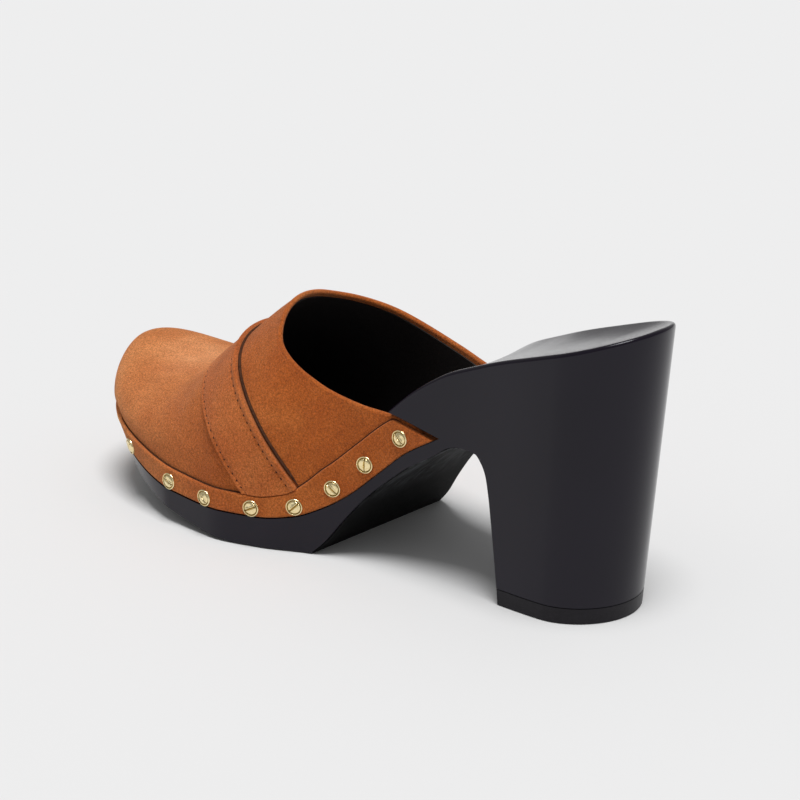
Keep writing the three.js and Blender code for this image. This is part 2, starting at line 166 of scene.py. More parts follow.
# A place inside the forefoot, to tell inward from outward
INSIDE = np.array([150, 5, 25])


def curve(table, column=1):
    """A smooth curve through the rows of a table, which stays between neighbouring rows."""
    xs = np.array([row[0] for row in table], float)
    ys = np.array([row[column] for row in table], float)
    slopes = np.diff(ys) / np.diff(xs)
    before, after = slopes[:-1], slopes[1:]
    same_way = before * after > 0
    total = np.where(same_way, before + after, 1)
    inner = np.where(same_way, 2 * before * after / total, 0)
    tangents = np.concatenate(([slopes[0]], inner, [slopes[-1]]))

    def value(x):
        x = np.asarray(x, float)
        i = np.clip(np.searchsorted(xs, x, side="right") - 1, 0, len(xs) - 2)
        span = xs[i + 1] - xs[i]
        t = (x - xs[i]) / span
        bulge = (tangents[i] * (1 - t) - tangents[i + 1] * t) * t * (1 - t) * span
        inside = ys[i] + (ys[i + 1] - ys[i]) * t * t * (3 - 2 * t) + bulge
        low = ys[0] + tangents[0] * (x - xs[0])
        high = ys[-1] + tangents[-1] * (x - xs[-1])
        return np.where(x <= xs[0], low, np.where(x >= xs[-1], high, inside))

    return value


plan_half = curve(PLAN, 1)
plan_centre = curve(PLAN, 2)
rim_drop = curve(RIM)
arch_rise = curve(ARCH)
ridge_height = curve(RIDGE, 1)
section_fullness = curve(RIDGE, 2)
collar_height = curve(COLLAR)
ledge_height = curve(LEDGE)
rand_height = curve(RAND)

TOE_START = LENGTH - TOE_ROUND
BREAST_BASE = HEEL_RAKE + HEEL_BASE_LENGTH
TREAD_END = TREAD_START + TREAD_LENGTH
ARCH_SPAN = TREAD_START - BREAST_BASE
COLLAR_TOP = COLLAR[-1][0]
REACH = 200


def rim_z(x):
    return PLATFORM_HEIGHT + (HEEL_HEIGHT - PLATFORM_HEIGHT) * rim_drop(x / LENGTH)


def ridge_z(x):
    return INSTEP_HEIGHT * ridge_height(x / LENGTH)


def centre_y(x):
    return BALL_WIDTH * plan_centre(x / LENGTH)


def rounded(share, fullness):
    within = np.clip(share, 0, 1)
    closed = within > 1 - 1e-9
    return np.where(closed, 0, (1 - np.where(closed, 0, within) ** fullness) ** (1 / fullness))


def smoothstep(t):
    t = np.clip(t, 0, 1)
    return t * t * (3 - 2 * t)


def half_width(x, depth):
    full = BALL_WIDTH * plan_half(x / LENGTH) - depth
    toe = rounded((x - TOE_START) / (TOE_ROUND - depth), TOE_FULLNESS)
    seat = rounded((SEAT_ROUND - x) / (SEAT_ROUND - depth), 2)
    return full * toe * seat


def foot_of(x, half):
    """Where the side wall below a point of the rim meets the floor."""
    heel = np.maximum(0, 1 - x / (BREAST_BASE + HEEL_RAKE))
    toe = np.maximum(0, (x - TOE_START) / TOE_ROUND)
    shrink = TOE_UNDERCUT / TOE_ROUND * toe
    foot_x = x + HEEL_RAKE * heel - np.maximum(0, x - TOE_START) * shrink
    return foot_x, half * (1 - HEEL_BASE_TAPER * heel - shrink)


def stations(depth, first, count):
    """Places along the shoe, closer together at both ends and drawn in with the depth."""
    x = LENGTH * (1 - np.cos(np.linspace(0, math.pi, count + 1))) / 2
    x = x[x >= first]
    return drawn_in(x, depth)


def drawn_in(x, depth):
    x = np.where(x > TOE_START, TOE_START + (x - TOE_START) * (TOE_ROUND - depth) / TOE_ROUND, x)
    return np.where(x < SEAT_ROUND, SEAT_ROUND - (SEAT_ROUND - x) * (SEAT_ROUND - depth) / SEAT_ROUND, x)


def last_point(x, q, depth):
    """A point of the leather's form. q runs up the outer wall to 1, over the ridge to 2 and on down."""
    x, q = np.broadcast_arrays(np.asarray(x, float), np.asarray(q, float))
    half = half_width(x, depth)
    foot_x, foot_half = foot_of(x, half)
    turn = math.pi * np.clip(q - 1, 0, 1)
    power = 2 / section_fullness(x / LENGTH)
    across = np.cos(turn)
    toe_cap = rounded((x - TOE_START) / (TOE_ROUND - depth), TOE_CAP_FULLNESS)
    rise = (ridge_z(x) - depth - rim_z(x)) * toe_cap
    down = np.clip(1 - q, 0, 1) + np.clip(q - 2, 0, 1)
    y = half * np.sign(across) * np.abs(across) ** power + (foot_half - half) * np.sign(1.5 - q) * down
    z = (rim_z(x) + rise * np.clip(np.sin(turn), 0, 1) ** power) * (1 - down)
    return np.stack([x + (foot_x - x) * down, centre_y(x) + y, z], -1)


# Meshes

def place(points):
    return (np.asarray(points, float).reshape(-1, 3) - MIDDLE) * MM


def new_object(name, points, faces):
    mesh = bpy.data.meshes.new(name)
    mesh.from_pydata([tuple(p) for p in place(points)], [], [tuple(f) for f in faces])
    tidy = bmesh.new()
    tidy.from_mesh(mesh)
    bmesh.ops.remove_doubles(tidy, verts=tidy.verts, dist=1e-6)
    bmesh.ops.dissolve_degenerate(tidy, edges=tidy.edges, dist=1e-7)
    bmesh.ops.recalc_face_normals(tidy, faces=tidy.faces)
    tidy.to_mesh(mesh)
    tidy.free()
    made = bpy.data.objects.new(name, mesh)
    bpy.context.scene.collection.objects.link(made)
    return made


def grid_faces(rows, columns, closed_columns=False):
    last = columns if closed_columns else columns - 1
    faces = []
    for start in range(0, (rows - 1) * columns, columns):
        for j in range(last):
            a, b = start + j, start + (j + 1) % columns
            faces.append((a, b, b + columns, a + columns))
    return faces


def loft(name, rings, cap_first=False, cap_last=False):
    """A closed solid through rings of equal length."""
    rows, columns = rings.shape[:2]
    faces = grid_faces(rows, columns, closed_columns=True)
    if cap_first:
        faces.append(tuple(range(columns)))
    if cap_last:
        faces.append(tuple((rows - 1) * columns + j for j in range(columns)))
    return new_object(name, rings.reshape(-1, 3), faces)


def across_shoe(name, side_line, steps=1, moved=None):
    """A closed line in the side view swept across the shoe."""
    line = np.asarray(side_line, float)
    ys = np.linspace(-BALL_WIDTH, BALL_WIDTH, steps + 1)
    rings = np.zeros((len(ys), len(line), 3))
    for k, y in enumerate(ys):
        rings[k, :, 0], rings[k, :, 1], rings[k, :, 2] = line[:, 0], y, line[:, 1]
        if moved is not None:
            rings[k] = moved(rings[k])
    return loft(name, rings, True, True)


def combine(obj, tool, how, keep_tool=False):
    """Cuts or joins two closed solids."""
    step = obj.modifiers.new("combine", "BOOLEAN")
    step.operation = how
    step.solver = "MANIFOLD"
    step.object = tool
    graph = bpy.context.evaluated_depsgraph_get()
    made = bpy.data.meshes.new_from_object(obj.evaluated_get(graph))
    obj.modifiers.clear()
    old = obj.data
    obj.data = made
    bpy.data.meshes.remove(old)
    if not keep_tool:
        bpy.data.objects.remove(tool)
    return obj


def copy_of(obj, name):
    twin = bpy.data.objects.new(name, obj.data.copy())
    bpy.context.scene.collection.objects.link(twin)
    return twin


def lengths_along(path):
    """The distance run along a path at each of its points."""
    return np.concatenate(([0], np.cumsum(np.linalg.norm(np.diff(path, axis=0), axis=1))))


def at_lengths(path, lengths, wanted):
    """The points of a path at the wanted distances along it."""
    return np.stack([np.interp(wanted, lengths, path[:, k]) for k in range(3)], -1)


# Wooden sole

SOLE_STATIONS = 190
WALL_ROWS = np.linspace(0, 1, 22)
FILLET_ROWS = np.linspace(0, 1, 8)
BED_ROWS = np.linspace(1, -1, 41)


def sole_rings(depth, extra_height, dish, edge_round):
    """Rings of the block: up the outer wall, round the rim, over the bed and down the inner wall."""
    rim = stations(0, 0, SOLE_STATIONS)
    rings = []
    for base in rim:
        outer, inner = [], []
        outline_x = float(drawn_in(np.array([base]), depth)[0])
        half = float(half_width(outline_x, depth))
        foot_x, foot_half = foot_of(outline_x, half)
        top = float(rim_z(outline_x)) + extra_height
        wall_end = top - edge_round
        centre = float(centre_y(outline_x))
        for t in WALL_ROWS:
            z = wall_end * t
            lift = z / top
            x = foot_x + (outline_x - foot_x) * lift
            reach = foot_half + (half - foot_half) * lift
            outer.append((x, centre + reach, z))
            inner.append((x, centre - reach, z))
        bed_depth = depth + edge_round
        bed_x = float(drawn_in(np.array([base]), bed_depth)[0])
        bed_half = float(half_width(bed_x, bed_depth))
        bed_centre = float(centre_y(bed_x))
        hollow = dish * min(1, half / SEAT_ROUND)
        edge_share = bed_half / half if half > 0 else 1
        bed_edge = float(rim_z(bed_x)) + extra_height - hollow * (1 - edge_share * edge_share)
        if edge_round > 0:
            for t in FILLET_ROWS[1:]:
                low, mid, high = (1 - t) ** 2, 2 * t * (1 - t), t * t
                for side, run in ((1, outer), (-1, inner)):
                    start = np.array(run[len(WALL_ROWS) - 1])
                    corner = np.array([outline_x, centre + side * half, top])
                    end = np.array([bed_x, bed_centre + side * bed_half, bed_edge])
                    run.append(tuple(low * start + mid * corner + high * end))
        bed = []
        for across in BED_ROWS[1:-1]:
            share = across * edge_share
            z = float(rim_z(bed_x)) + extra_height - hollow * (1 - share * share)
            bed.append((bed_x, bed_centre + bed_half * across, z))
        rings.append(outer + bed + inner[::-1])
    return np.array(rings)


def offset_line(line, offset):
    """A line in the side view moved along its own normal."""
    line = np.asarray(line, float)
    before = line[np.maximum(0, np.arange(len(line)) - 1)]
    after = line[np.minimum(len(line) - 1, np.arange(len(line)) + 1)]
    along = (after - before) / np.linalg.norm(after - before, axis=1)[:, None]
    amount = offset(line[:, 0]) if callable(offset) else offset
    return np.stack([line[:, 0] - along[:, 1] * amount, line[:, 1] + along[:, 0] * amount], -1)


def above(line):
    line = np.asarray(line, float)
    return np.vstack([line, [line[-1, 0], REACH], [line[0, 0], REACH]])


def below(line):
    line = np.asarray(line, float)
    return np.vstack([[line[0, 0], -REACH], [line[-1, 0], -REACH], line[::-1]])


def arch_point(share):
    return np.stack([BREAST_BASE + ARCH_SPAN * share, ARCH_RISE * arch_rise(share)], -1)


def spring_point(x):
    return np.stack([x, TOE_SPRING * ((x - TREAD_END) / (LENGTH - TREAD_END)) ** TOE_SPRING_BEND], -1)


breast_line = arch_point(np.linspace(0, OUTSOLE_FROM, 48))
tread_line = np.vstack([
    arch_point(np.linspace(OUTSOLE_FROM, 1, 110)),
    spring_point(np.linspace(TREAD_END, LENGTH * TREAD_PAST_TOE, 24)),
])
wood_tread = offset_line(tread_line, TREAD_SHOWS)
rubber_top = offset_line(tread_line, OUTSOLE_THICKNESS)
tip_top = [[-REACH, HEEL_TIP_THICKNESS], [BREAST_BASE + HEEL_RAKE, HEEL_TIP_THICKNESS]]
heel_end = [[-REACH, HEEL_TIP_THICKNESS + GAP], [BREAST_BASE + HEEL_RAKE, HEEL_TIP_THICKNESS + GAP]]

ledge_at = np.linspace(LEDGE_FROM, PAST_TOE, 120)
ledge_line = np.stack([LENGTH * ledge_at, HEEL_HEIGHT * ledge_height(ledge_at)], -1)
rand_top = offset_line(ledge_line, lambda x: RAND_HEIGHT * rand_height(x / LENGTH))


def collar_turn(points):
    """The collar rises towards the inner side, where its throat also lies further forward."""
    x, y, z = points[..., 0], points[..., 1], points[..., 2]
    share = smoothstep((x / LENGTH - COLLAR_REAR) / (COLLAR_TOP - COLLAR_REAR))
    return np.stack([x - COLLAR_SKEW * share * y, y, z - COLLAR_LEAN * y], -1)


def collar_side(drop, end_at=COLLAR_TOP, rows=90):
    at = np.linspace(COLLAR_REAR - COLLAR_LEAD, end_at, rows)
    line = np.stack([LENGTH * at, HEEL_HEIGHT * collar_height(at)], -1)
    line = offset_line(line, -drop)
    end = line[-1, 0]
    return below(np.vstack([line, [end, REACH], [LENGTH * PAST_TOE, REACH]]))


def collar_limit(x, y):
    """Height of the collar's cut at a point of the plan."""
    whole = np.asarray(x, float)
    for _ in range(LEAN_ROUNDS):
        share = smoothstep((whole / LENGTH - COLLAR_REAR) / (COLLAR_TOP - COLLAR_REAR))
        whole = x + COLLAR_SKEW * share * y
    height = HEEL_HEIGHT * collar_height(whole / LENGTH) - COLLAR_LEAN * y
    return np.where(whole > LENGTH * COLLAR_TOP, REACH, height)


RIM_CROSSING = 0.4
REBATE_EDGE = 0.5
OUTSOLE_EDGE = 0.3
block = loft("wooden_sole", sole_rings(0, 0, BED_DISH, RIM_ROUND))
rebate = across_shoe("rebate", collar_side(-REBATE_MARGIN, RIM_CROSSING, 30), LEAN_STEPS, collar_turn)
combine(rebate, across_shoe("over_ledge", above(ledge_line - [0, GAP])), "INTERSECT")
combine(rebate, loft("core", sole_rings(REBATE, INSTEP_HEIGHT, 0, REBATE_EDGE)), "DIFFERENCE")
arch = across_shoe("arch", below(np.vstack([breast_line, wood_tread])))
heel_tip = copy_of(block, "rubber_heel_tip")
combine(heel_tip, across_shoe("under_tip", below(tip_top)), "INTERSECT")
combine(heel_tip, arch, "DIFFERENCE", keep_tool=True)
sole = combine(block, arch, "DIFFERENCE")
combine(sole, across_shoe("over_tip", below(heel_end)), "DIFFERENCE")
combine(sole, rebate, "DIFFERENCE")
outsole = loft("rubber_outsole", sole_rings(OUTSOLE_INSET, 0, 0, OUTSOLE_EDGE))
combine(outsole, across_shoe("tread", np.vstack([tread_line, rubber_top[::-1]])), "INTERSECT")

# Suede upper with its rolled collar edge and lining

UPPER_STATIONS = 210
RING_Q = np.concatenate([np.linspace(0, 1, 30)[:-1], np.linspace(1, 2, 121), np.linspace(2, 3, 30)[1:]])


def crease_height(x, q):
    """Height of the listed creases at a place of the leather's form."""
    total = np.zeros(np.broadcast(x, q).shape)
    for x0, q0, x1, q1, half, height in CREASES:
        start = np.array([x0, q0 * RING_SPAN])
        run = np.array([x1, q1 * RING_SPAN]) - start
        dx, dq = x - start[0], q * RING_SPAN - start[1]
        share = np.clip((dx * run[0] + dq * run[1]) / run.dot(run), 0, 1)
        away = np.hypot(dx - share * run[0], dq - share * run[1])
        fade = CREASE_END_SHARE + (1 - CREASE_END_SHARE) * np.sin(math.pi * share)
        total += height * fade * np.exp(-((away / half) ** 2))
    return total


def last_form(name, depth, creased=False):
    x = stations(depth, HEEL_RAKE + BREAST_BASE, UPPER_STATIONS)
    rings = last_point(x[:, None], RING_Q[None, :], depth)
    if creased:
        rings[..., 2] += crease_height(x[:, None], RING_Q[None, :])
    return loft(name, rings, cap_first=True)


def leather_region(drop):
    region = across_shoe("leather_region", collar_side(drop), LEAN_STEPS, collar_turn)
    return combine(region, across_shoe("over_ledge", above(ledge_line)), "INTERSECT")


upper = last_form("suede_upper", UPPER_FACE, creased=True)
combine(upper, leather_region(ROLL_DROP), "INTERSECT")
combine(upper, last_form("upper_back", UPPER_BACK), "DIFFERENCE")
lining = last_form("lining", UPPER_BACK - LINING_OVERLAP)
combine(lining, leather_region(LINING_DROP), "INTERSECT")
combine(lining, last_form("lining_back", UPPER_BACK + LINING_WALL), "DIFFERENCE")


def ledge_z(x, y):
    return HEEL_HEIGHT * ledge_height(x / LENGTH)


COLLAR_SEARCH = (84.0, 172.0)


def collar_path(depth, drop):
    """The line along the collar's cut at a depth, from the outer wing tip over the throat."""
    walls = []
    for side in (1, -1):
        x = np.linspace(ROLL_START, ROLL_START + ROLL_WALL_SPAN, 50)
        half = half_width(x, depth)
        y = centre_y(x) + side * half
        z = collar_limit(x, y) - drop
        keep = (z < rim_z(x)) & (z > ledge_z(x, y) + ROLL_CLEAR)
        walls.append(np.stack([x, y, z], -1)[keep])
    q = 1 + (1 - np.cos(np.linspace(0, math.pi, 260))) / 2
    low, high = (np.full_like(q, x) for x in COLLAR_SEARCH)
    for _ in range(HALVINGS):
        mid = (low + high) / 2
        p = last_point(mid, q, depth)
        over = p[:, 2] > collar_limit(p[:, 0], p[:, 1]) - drop
        low, high = np.where(over, mid, low), np.where(over, high, mid)
    arc = last_point((low + high) / 2, q, depth)
    return np.vstack([walls[0], arc, walls[1][::-1]])


def resampled(path, step):
    lengths = lengths_along(path)
    count = max(2, int(round(lengths[-1] / step)) + 1)
    return at_lengths(path, lengths, np.linspace(0, lengths[-1], count))


# Points over which a cord narrows to its end, and the share of its radius left there
TAPER_POINTS = 6
TAPER_END = 0.03
TAPER_POWER = 0.7


def tube(name, path, radius, sides=12):
    """A round cord along a path, drawn to a point at both ends."""
    along = np.gradient(path, axis=0)
    along /= np.linalg.norm(along, axis=1)[:, None]
    up = np.array([0.0, 0.0, 1.0])
    across = np.cross(along, up)
    across /= np.linalg.norm(across, axis=1)[:, None]
    other = np.cross(across, along)
    ends = np.minimum(np.arange(len(path)), np.arange(len(path))[::-1])
    size = radius * np.clip(ends / TAPER_POINTS, TAPER_END, 1) ** TAPER_POWER
    angles = np.linspace(0, 2 * math.pi, sides, endpoint=False)
    ring = np.cos(angles)[None, :, None] * across[:, None, :]
    ring = ring + np.sin(angles)[None, :, None] * other[:, None, :]
    return loft(name, path[:, None, :] + ring * size[:, None, None], True, True)


ROLL_STEP = 1.0
roll_line = resampled(collar_path((UPPER_FACE + UPPER_BACK) / 2, ROLL_DROP), ROLL_STEP)
roll = tube("suede_collar_roll", roll_line, ROLL_RADIUS)


# Rand and strap: sheets with rounded edges, laid on the outermost form

def sheet(name, grid, inward, wall, edge, lifts=None):
    """A leather sheet whose face runs through grid, [rows along, columns across, 3], with rounded edges.
    inward is the unit direction into the shoe at each point of the grid, and lifts a raise of the face."""
    rows, columns = grid.shape[:2]
    if lifts is None:
        lifts = np.zeros((rows, columns))
    reach = np.linalg.norm(np.diff(grid, axis=1), axis=2)
    run = np.concatenate([np.zeros((rows, 1)), np.cumsum(reach, axis=1)], axis=1)
    to_edge = np.minimum(run, run[:, -1:] - run)
    inside = np.clip(to_edge / edge, 0, 1)
    drop = edge * (1 - np.sqrt(1 - (1 - inside) ** 2))
    face = grid + inward * (drop - lifts)[..., None]
    back = grid + inward * (wall - np.minimum(lifts, 0))[..., None]
    rings = np.concatenate([face, back[:, ::-1]], axis=1)
    return loft(name, rings, True, True)


def wall_point(x_rim, side, level):
    """The point of the wall, below the point x of the rim, that lies at the height level(x, y)."""
    half = half_width(x_rim, 0)
    foot_x, foot_half = foot_of(x_rim, half)
    top = rim_z(x_rim)
    centre = centre_y(x_rim)
    lift = np.ones_like(x_rim)
    for _ in range(WALL_ROUNDS):
        x = foot_x + (x_rim - foot_x) * lift
        y = centre + side * (foot_half + (half - foot_half) * lift)
        lift = np.clip(level(x, y) / top, 0, 1)
    x = foot_x + (x_rim - foot_x) * lift
    y = centre + side * (foot_half + (half - foot_half) * lift)
    return np.stack([x, y, top * lift], -1)


COLLAR_CLEARANCE = 0.2


def rand_top_z(x, y):
    return np.minimum(np.interp(x, rand_top[:, 0], rand_top[:, 1]), collar_limit(x, y) - COLLAR_CLEARANCE)


def sunk_in(path, depth):
    """A path round the shoe moved a depth towards the inside, level with the floor."""
    along = np.gradient(path, axis=0)
    inward = np.stack([-along[:, 1], along[:, 0], np.zeros(len(path))], -1)
    inward /= np.linalg.norm(inward, axis=1)[:, None]
    if np.sum(inward * (INSIDE - path)) < 0:
        inward = -inward
    return path + inward * depth


def bunched(columns, edge_share):
    """Shares from 0 to 1 with more of them near both ends."""
    t = np.linspace(0, 1, columns)
    return t + edge_share * np.sin(2 * math.pi * t) / (-2 * math.pi)


def normals_of(grid):
    along = np.gradient(grid, axis=0)
    across = np.gradient(grid, axis=1)
    normal = np.cross(along, across)
    return normal / np.maximum(1e-9, np.linalg.norm(normal, axis=2))[..., None]


RAND_EDGE = 0.7
RAND_STEPS = 190
RAND_COLUMNS = 22
RAND_BUNCHING = 0.8
TIP_SEARCH = (66, 90)
TIP_WIDTH = 0.3


def rand_places(side, past_tip=0):
    """Places along the rim from the tip of a side's wing, where collar and lower edge meet, to the toe."""
    x = np.linspace(*TIP_SEARCH, 600)
    y = centre_y(x) + side * half_width(x, 0)
    tip = x[np.argmax(collar_limit(x, y) - ledge_z(x, y) > TIP_WIDTH)] + past_tip
    return tip + (LENGTH - tip) * np.sin(np.linspace(0, math.pi / 2, RAND_STEPS))


sides = []
for side in (1, -1):
    rand_x = rand_places(side)
    low_edge = wall_point(rand_x, side, ledge_z)
    high_edge = wall_point(rand_x, side, rand_top_z)
    sides.append((low_edge, high_edge))
low_edge = np.vstack([sides[0][0], sides[1][0][::-1][1:]])
high_edge = np.vstack([sides[0][1], sides[1][1][::-1][1:]])
across = bunched(RAND_COLUMNS, RAND_BUNCHING)[None, :, None]
rand_grid = low_edge[:, None, :] * (1 - across) + high_edge[:, None, :] * across
rand_normal = normals_of(rand_grid)
outward = np.sign(np.sum(rand_normal * (rand_grid - INSIDE), axis=2).mean())
rand = sheet("suede_rand", rand_grid, -rand_normal * outward, OVERLAY_WALL, RAND_EDGE)

# The strap over the instep
STRAP_EDGE = 0.4
STRAP_REACH = STRAP_WIDTH / 2 * math.hypot(1, STRAP_TILT)
STRAP_COLUMNS = 60
STRAP_ROWS = 150
STRAP_BUNCHING = 0.75
STRAP_SEARCH = (90.0, 240.0)
STRAP_RING = (0.15, 2.85)


def strap_point(share, q, depth=0):
    """The point of the form at ring place q that lies share of the half width from the strap's middle."""
    low, high = (np.full(np.broadcast(share, q).shape, x) for x in STRAP_SEARCH)
    for _ in range(HALVINGS):
        mid = (low + high) / 2
        p = last_point(mid, q, depth)
        middle_x = STRAP_FOOT_X + STRAP_TILT * p[..., 2]
        over = p[..., 0] - middle_x + STRAP_SKEW * p[..., 1] > share * STRAP_REACH
        low, high = np.where(over, low, mid), np.where(over, mid, high)
    return last_point((low + high) / 2, q, depth)


def strap_line(share, depth=0):
    """The line round the instep at one share of the strap's half width, from rand to rand."""
    q = np.linspace(*STRAP_RING, 700)
    p = strap_point(share, q, depth)
    floor = np.interp(p[:, 0], rand_top[:, 0], rand_top[:, 1]) + GAP
    inside = p[:, 2] > floor
    first, last = np.argmax(inside), len(q) - 1 - np.argmax(inside[::-1])
    kept = p[first:last + 1]
    ends = []
    for outer, inner in ((first - 1, first), (last + 1, last)):
        miss = floor[outer] - p[outer, 2]
        hit = p[inner, 2] - floor[inner]
        ends.append(p[inner] + (p[outer] - p[inner]) * hit / (hit + miss))
    path = np.vstack([ends[0], kept, ends[1]])
    lengths = lengths_along(path)
    return at_lengths(path, lengths, np.linspace(0, lengths[-1], STRAP_ROWS))


strap_shares = 2 * bunched(STRAP_COLUMNS, STRAP_BUNCHING) - 1
strap_grid = np.stack([strap_line(share) for share in strap_shares], 1)
strap_normal = normals_of(strap_grid)
outward = np.sign(np.sum(strap_normal * (strap_grid - INSIDE), axis=2).mean())
strap_inward = -strap_normal * outward

# Stitch rows: the thread pulls a shallow channel near each edge of the strap
SEAM_FRONT = 0.86
SEAM_REAR = -0.76
CHANNEL_DEPTH = 0.28
CHANNEL_HALF = 0.07
# The strap's rear edge stands off the upper from this share of its half width on
REAR_LIFT = 0.8
REAR_LIFT_FROM = -0.7
REAR_LIFT_SPAN = 0.25


def strap_lift(share):
    channel = sum(np.exp(-((share - seam) / CHANNEL_HALF) ** 2) for seam in (SEAM_FRONT, SEAM_REAR))
    rear = smoothstep((REAR_LIFT_FROM - share) / REAR_LIFT_SPAN)
    return REAR_LIFT * rear - CHANNEL_DEPTH * channel


lifts = np.tile(strap_lift(strap_shares)[None, :], (STRAP_ROWS, 1))
strap = sheet("suede_instep_strap", strap_grid, strap_inward, OVERLAY_WALL, STRAP_EDGE, lifts)


NEEDLE_PITCH = 2.9
HOLE_SIDES = 10
HOLE_NARROW = 0.8
HOLE_LIFT = 0.06
# Share of a hole's radius, depth in millimetres
HOLE_RINGS = [(1, 0.03), (0.7, 0.0), (0.3, 0.01)]


def holes(name, share, radius):
    """A row of needle holes along the strap, each a small dark disc on its face."""
    line = strap_line(share)
    column = int(np.argmin(np.abs(strap_shares - share)))
    inward = strap_inward[:, column]
    lengths = lengths_along(line)
    points, faces = [], []
    for distance in np.arange(NEEDLE_PITCH, lengths[-1] - NEEDLE_PITCH / 2, NEEDLE_PITCH):
        centre = at_lengths(line, lengths, distance)
        down = at_lengths(inward, lengths, distance)
        along = at_lengths(line, lengths, distance + 0.5) - centre
        along /= np.linalg.norm(along)
        side = np.cross(down, along)
        side /= np.linalg.norm(side)
        start = len(points)
        surface = centre - down * (strap_lift(share) + HOLE_LIFT)
        for size, depth in HOLE_RINGS:
            for k in range(HOLE_SIDES):
                a = 2 * math.pi * k / HOLE_SIDES
                out = math.cos(a) * along + HOLE_NARROW * math.sin(a) * side
                points.append(surface + radius * size * out + down * depth)
        for ring in range(len(HOLE_RINGS) - 1):
            for k in range(HOLE_SIDES):
                a = start + ring * HOLE_SIDES + k
                b = start + ring * HOLE_SIDES + (k + 1) % HOLE_SIDES
                faces.append((a, b, b + HOLE_SIDES, a + HOLE_SIDES))
        last_ring = start + (len(HOLE_RINGS) - 1) * HOLE_SIDES
        faces.append(tuple(last_ring + k for k in range(HOLE_SIDES)))
    return new_object(name, np.array(points), faces)


front_holes = holes("strap_front_needle_holes", SEAM_FRONT, radius=0.4)
rear_holes = holes("strap_rear_needle_holes", SEAM_REAR, radius=0.48)

# Painted shadow in the crevices beside the edges of strap and rand: fine dark cords, each half sunk in the
# upper
SHADOW_CORD_LEVEL = UPPER_FACE - 0.2
SHADOW_CORD_START = 14
SHADOW_CORD_SIDES = 8
REAR_SHADOW_CORD_RADIUS = 0.6
SHADOW_CORD_RADIUS = 0.3
REAR_SHADOW_CORD_AT = -1.06
FRONT_SHADOW_CORD_AT = 1.03
RAND_SHADOW_CORD_ABOVE = 0.15
RAND_SHADOW_CORD_DEPTH = 1.4
rear_crevice_shadow_line = strap_line(REAR_SHADOW_CORD_AT, SHADOW_CORD_LEVEL)
front_crevice_shadow_line = strap_line(FRONT_SHADOW_CORD_AT, SHADOW_CORD_LEVEL)
rear_crevice_shadow = tube("strap_rear_crevice_shadow", rear_crevice_shadow_line, REAR_SHADOW_CORD_RADIUS, SHADOW_CORD_SIDES)
front_crevice_shadow = tube("strap_front_crevice_shadow", front_crevice_shadow_line, SHADOW_CORD_RADIUS, SHADOW_CORD_SIDES)


def above_rand(x, y):
    return rand_top_z(x, y) + RAND_SHADOW_CORD_ABOVE


sides = []
for side in (1, -1):
    sides.append(wall_point(rand_places(side, SHADOW_CORD_START), side, above_rand))
rand_crevice_shadow_line = sunk_in(np.vstack([sides[0], sides[1][::-1][1:]]), RAND_SHADOW_CORD_DEPTH)
rand_crevice_shadow = tube("rand_crevice_shadow", rand_crevice_shadow_line, SHADOW_CORD_RADIUS, SHADOW_CORD_SIDES)

# Brass nail heads

STUD_PATH_POINTS = 91


def stud_frames():
    """Place and facing of each nail head along the rand."""
    share = COLLAR_REAR + (1 - COLLAR_REAR) * np.sin(np.linspace(0, math.pi / 2, STUD_PATH_POINTS))

    def side_path(side):
        x = LENGTH * share

        def level(px, _):
            at = px / LENGTH
            step = 0.01
            rise = HEEL_HEIGHT * (ledge_height(at + step) - ledge_height(at - step)) / (2 * step * LENGTH)
            upright = RAND_HEIGHT * rand_height(at) * np.hypot(1, rise)
            return HEEL_HEIGHT * ledge_height(at) + upright * STUD_LEVEL

        point = wall_point(x, side, level)
        half = half_width(x, 0)
        foot_x, foot_half = foot_of(x, half)
        top = np.stack([x, centre_y(x) + side * half, rim_z(x)], -1)
        bottom = np.stack([foot_x, centre_y(x) + side * foot_half, np.zeros_like(x)], -1)
        wall = (top - bottom) / np.linalg.norm(top - bottom, axis=1)[:, None]
        return point, wall

    (outer, outer_wall), (inner, inner_wall) = side_path(1), side_path(-1)
    path = np.vstack([outer, inner[::-1][1:]])
    wall = np.vstack([outer_wall, inner_wall[::-1][1:]])
    lengths = lengths_along(path)
    placed = lengths[-1] * np.array(STUDS)
    end = lengths[-1] - placed[0]
    count = round((end - placed[-1]) / STUD_SPACING)
    found = []
    for distance in np.concatenate([placed, np.linspace(placed[-1], end, count + 1)[1:]]):
        i = min(len(path) - 2, int(np.searchsorted(lengths, distance, side="right")) - 1)
        t = (distance - lengths[i]) / (lengths[i + 1] - lengths[i])
        along = path[i + 1] - path[i]
        facing = np.cross(wall[i] * (1 - t) + wall[i + 1] * t, along)
        found.append((path[i] + along * t, facing / np.linalg.norm(facing), along / np.linalg.norm(along)))
    return found


HEAD_SIDES = 56
HEAD_RADIUS = STUD_DIAMETER / 2
SLOT_HALF = 0.08
SLOT_DEPTH = 0.35
LIP_HEIGHT = 0.18
# Distance from the axis as a share of the radius, and height in millimetres: rim, groove, dome
HEAD_PROFILE = [
    (1.0, -0.25), (1.0, 0.3), (0.985, 0.55), (0.95, 0.76), (0.9, 0.84), (0.86, 0.8), (0.83, 0.66),
    (0.8, 0.46), (0.77, 0.44), (0.74, 0.58), (0.69, 0.8), (0.62, 0.92), (0.54, 0.99), (0.46, 1.04),
    (0.38, 1.08), (0.3, 1.11), (0.22, 1.13), (0.14, 1.14), (0.06, 1.15),
]
DOME_SHARE = 0.72
DENTS = 5
DENT_REACH = (-0.6, 0.6)
DENT_DEPTHS = (0.04, 0.16)
DENT_WIDTH = 0.05


